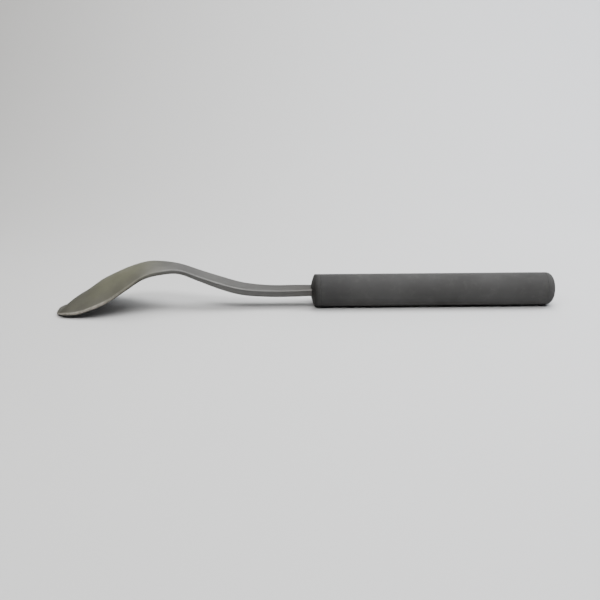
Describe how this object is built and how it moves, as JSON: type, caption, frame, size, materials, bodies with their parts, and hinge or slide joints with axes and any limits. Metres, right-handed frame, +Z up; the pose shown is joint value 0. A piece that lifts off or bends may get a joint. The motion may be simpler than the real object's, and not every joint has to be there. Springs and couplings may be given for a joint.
{
  "type": "hive tool",
  "caption": "Hand scraper for beehives: a dished spade blade on an arched steel neck, with a tang inside a round dark grip.",
  "frame": {"origin": "under the middle of the whole tool, on the table it lies on", "axes": "+X along the handle from the blade tip to the butt, +Z up from the table, blade's hollow side down"},
  "size_m": [0.251, 0.0332, 0.024],
  "materials": {
    "blade_steel": "dull ground steel with faint olive-brown staining from wax and propolis",
    "grip_rubber": "matte charcoal, fine moulded grain, slightly dusty",
    "end_plastic": "satin charcoal, lighter on the rims",
    "core_plastic": "plain moulded, hidden",
    "pin_steel": "bright drawn pin, hidden"
  },
  "bodies": {
    "root": {"blade": "blade_steel", "front_collar": "end_plastic", "grip_sleeve": "grip_rubber", "butt_plug": "end_plastic", "handle_core": "core_plastic", "tang_pin": "pin_steel"}
  },
  "joints": []
}
